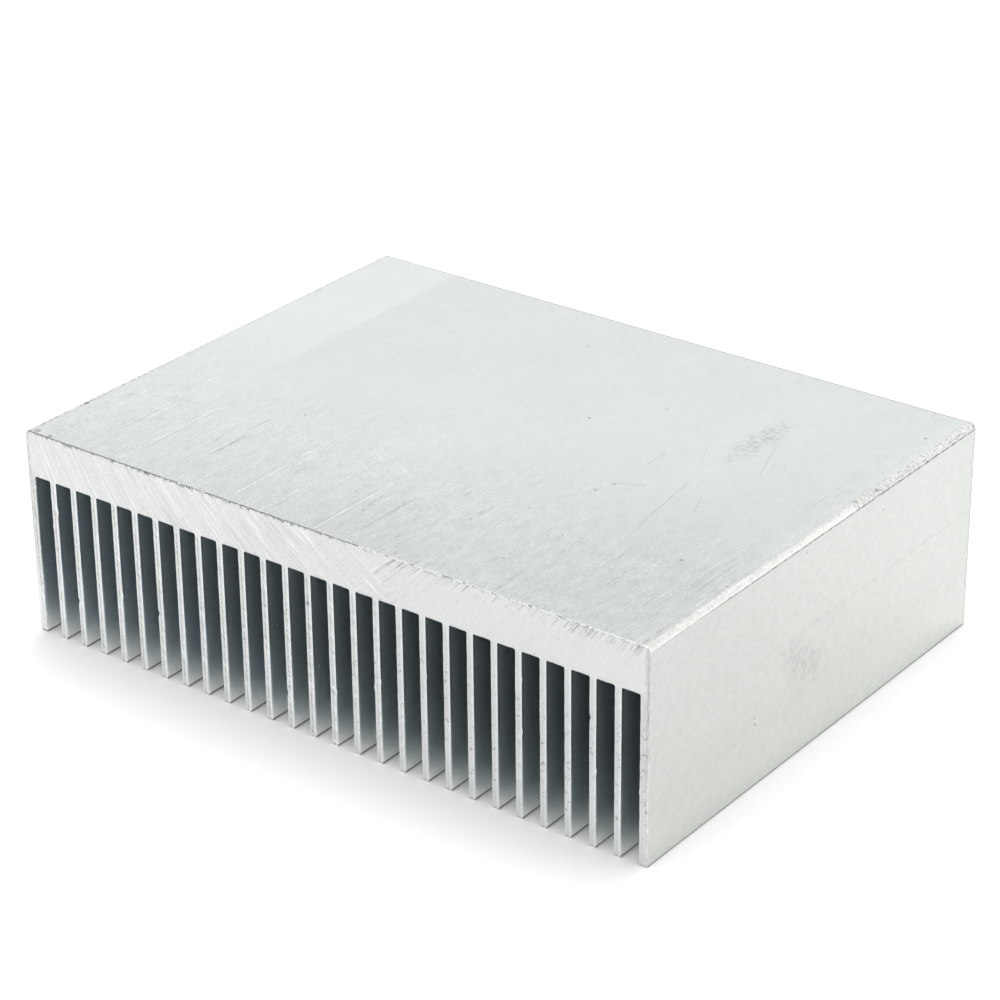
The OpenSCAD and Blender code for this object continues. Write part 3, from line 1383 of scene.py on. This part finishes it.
@dataclass(frozen=True)
class SoftLight:
    """A square area light that shines at a point.

    Attributes:
        name: The light's name.
        azimuth: Degrees round from the front towards the right.
        elevation: Degrees up from the floor.
        distance: How far away it stands.
        size: Length of its sides.
        watts: Its power.
    """

    name: str
    azimuth: float
    elevation: float
    distance: float
    size: float
    watts: float


def towards(azimuth: float, elevation: float) -> Vector:
    """The direction from the object to a place, in degrees round from the front and up."""
    around = math.radians(azimuth)
    up = math.radians(elevation)
    return Vector((math.sin(around) * math.cos(up), -math.cos(around) * math.cos(up), math.sin(up)))


@dataclass(frozen=True)
class Studio:
    """A white floor under even light, and the camera."""

    aim: Triple = (-1.10, 1.26, 18.35)
    azimuth: float = 37.434
    elevation: float = 26.507
    roll: float = -0.599
    distance: float = 433.7
    lens: float = 116.98
    dome: float = 1.15
    floor_size: float = 6000.0
    lamp: SoftLight = SoftLight("overhead", 192.0, 81.0, 700.0, 300.0, 1.13)

    def camera(self) -> None:
        """Adds the camera and makes it the scene's."""
        back = towards(self.azimuth, self.elevation)
        level = Vector((0, 0, 1)).cross(back).normalized()
        upright = back.cross(level)
        tilt = math.radians(self.roll)
        right = level * math.cos(tilt) + upright * math.sin(tilt)
        up = upright * math.cos(tilt) - level * math.sin(tilt)
        camera = bpy.data.objects.new("camera", bpy.data.cameras.new("camera"))
        camera.data.lens = self.lens
        camera.data.clip_start = 10 * MM
        turn = Matrix((right, up, back)).transposed().to_4x4()
        camera.matrix_world = Matrix.Translation((Vector(self.aim) + back * self.distance) * MM) @ turn
        bpy.context.scene.collection.objects.link(camera)
        bpy.context.scene.camera = camera

    def floor(self) -> None:
        """Adds the floor, which isn't part of the object."""
        bpy.ops.object.select_all(action="DESELECT")
        bpy.ops.mesh.primitive_plane_add(size=self.floor_size * MM)
        floor = bpy.context.object
        floor.name = "floor"
        material = bpy.data.materials.new("floor_white")
        material.use_nodes = True
        shader = material.node_tree.nodes["Principled BSDF"]
        shader.inputs["Base Color"].default_value = (0.975, 0.98, 0.98, 1)
        shader.inputs["Roughness"].default_value = 0.7
        floor.data.materials.append(material)

    def light(self) -> None:
        """Adds the even light from all round and the soft lamp."""
        world = bpy.data.worlds.new("white_room")
        bpy.context.scene.world = world
        world.use_nodes = True
        background = world.node_tree.nodes["Background"]
        background.inputs["Strength"].default_value = self.dome
        background.inputs["Color"].default_value = (1, 1, 1, 1)
        data = bpy.data.lights.new(self.lamp.name, "AREA")
        data.size = self.lamp.size * MM
        data.energy = self.lamp.watts
        lamp = bpy.data.objects.new(self.lamp.name, data)
        away = towards(self.lamp.azimuth, self.lamp.elevation)
        lamp.location = away * self.lamp.distance * MM
        lamp.rotation_euler = away.to_track_quat("Z", "Y").to_euler()
        bpy.context.scene.collection.objects.link(lamp)

    def build(self) -> None:
        """Sets up the whole studio."""
        self.camera()
        self.floor()
        self.light()
        bpy.context.scene.view_settings.view_transform = "Standard"


def main() -> None:
    """Builds the studio and the heat sink, and reports each piece."""
    logging.basicConfig(level=logging.INFO, format="%(name)s: %(message)s")
    Studio().build()
    low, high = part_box("heat_sink")
    body = Extrusion(low, high)
    finishes = {
        Skin.MILL: MillFinish(tuple(low / MM), tuple(high / MM), body.edge_radius).material(),
        Skin.SAWN: SawnFinish(body.top, body.root, body.first_fin, body.pitch, body.fin).material(),
        Skin.CHANNEL: ChannelFinish(body.root).material(),
        Skin.OUTER_RIM: RimFinish("outer_rim", (0.74, 0.75, 0.74), 0.74, 0.40, 0.72, 0.60).material(),
        Skin.MOUTH_RIM: RimFinish("mouth_rim", (0.84, 0.86, 0.85), 0.26, 0.20, 0.5).material(),
    }
    piece = body.build(finishes)
    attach(piece, "root")
    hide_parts("heat_sink")


if __name__ == "__main__":
    main()
